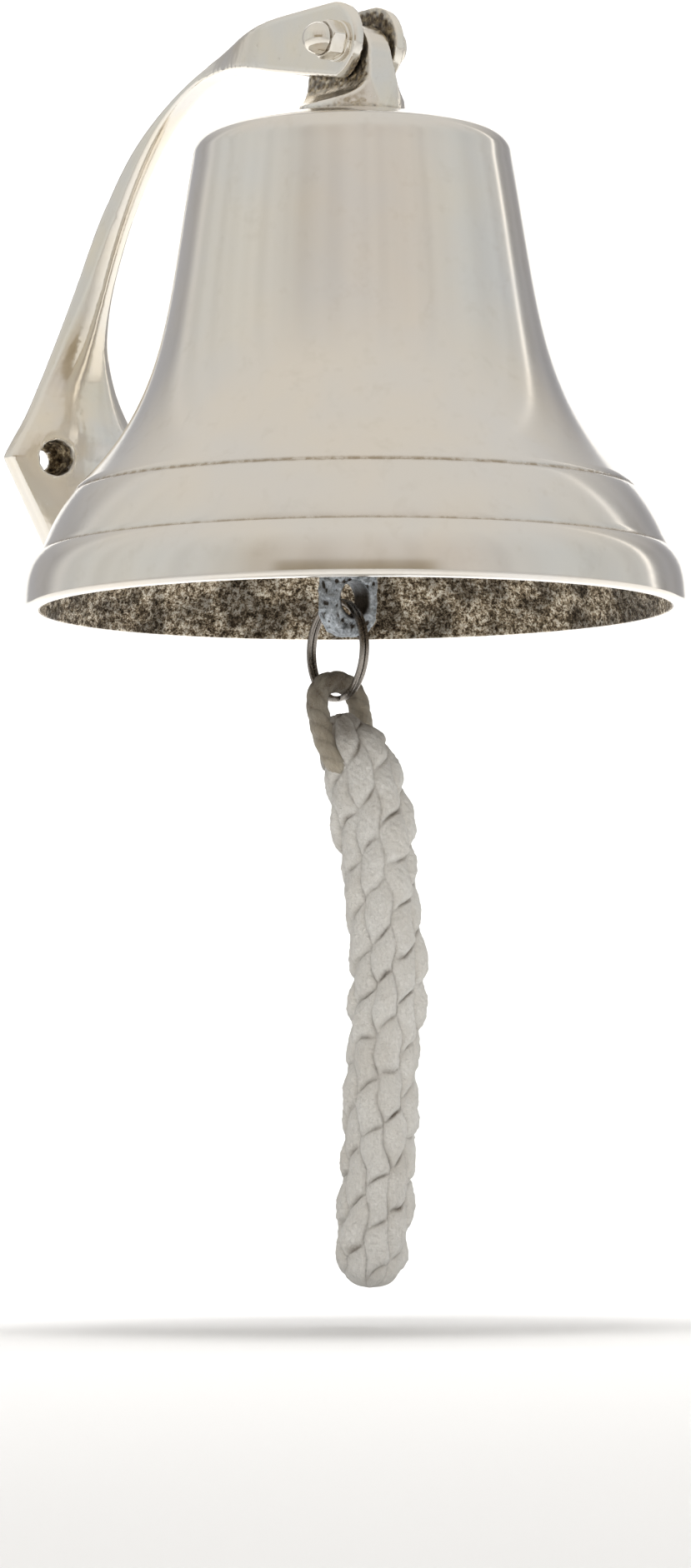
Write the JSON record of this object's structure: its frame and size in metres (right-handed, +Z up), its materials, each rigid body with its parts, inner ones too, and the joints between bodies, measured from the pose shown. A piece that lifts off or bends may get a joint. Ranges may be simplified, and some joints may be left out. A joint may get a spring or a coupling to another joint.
{
  "type": "ship bell",
  "caption": "Wall-hung ship bell on a cast bracket, with swinging bell, clapper, split ring and braided rope lanyard.",
  "frame": {"origin": "middle of the wall plate's back face, between its two screw holes", "axes": "+Y into the wall, +Z up, +X along the pivot bolt"},
  "size_m": [0.152, 0.189, 0.2957],
  "materials": {
    "bell_nickel": "nickel plated, satin outside, rough cast inside",
    "bracket_nickel": "nickel plated, satin",
    "plated_fastener": "nickel plated, polished",
    "plain_steel": "zinc plated, dull",
    "ring_steel": "spring steel, dark",
    "clapper_casting": "as cast, lightly plated",
    "old_cotton": "worn and stained",
    "cotton": "matt"
  },
  "bodies": {
    "bracket": {"wall_bracket": "bracket_nickel", "pivot_bolt": "plated_fastener", "pivot_washer": "plated_fastener", "acorn_nut": "plated_fastener"},
    "bell": {"bell_shell": "bell_nickel", "crown_lug": "bracket_nickel", "clapper_stud": "plain_steel", "crown_washer": "plain_steel", "crown_nut": "plain_steel"},
    "link": {"clapper_link": "plain_steel"},
    "clapper": {"clapper": "clapper_casting"},
    "ring": {"split_ring": "ring_steel"},
    "lanyard": {"lanyard_loop": "old_cotton", "lanyard_braid": "cotton"}
  },
  "joints": [
    {"name": "bell_swing", "type": "hinge", "parent": "bracket", "child": "bell", "pos_m": [0, -0.1175, 0.085], "axis": [1, 0, 0], "range_deg": [-90, 14]},
    {"name": "link_swing", "type": "hinge", "parent": "bell", "child": "link", "pos_m": [0, -0.113, 0.041], "axis": [1, 0, 0], "range_deg": [-33, 30]},
    {"name": "clapper_rock", "type": "hinge", "parent": "link", "child": "clapper", "pos_m": [0, -0.1127, 0.03231], "axis": [0, 0.9994, 0.0349], "range_deg": [-12, 12]},
    {"name": "ring_swing", "type": "hinge", "parent": "clapper", "child": "ring", "pos_m": [0, -0.11004, -0.04375], "axis": [0, -0.9994, -0.0349], "range_deg": [-60, 60]},
    {"name": "lanyard_swing", "type": "hinge", "parent": "ring", "child": "lanyard", "pos_m": [0.00035, -0.10569, -0.05418], "axis": [-0.9962, 0.0871, 0.003], "range_deg": [-40, 40]}
  ]
}
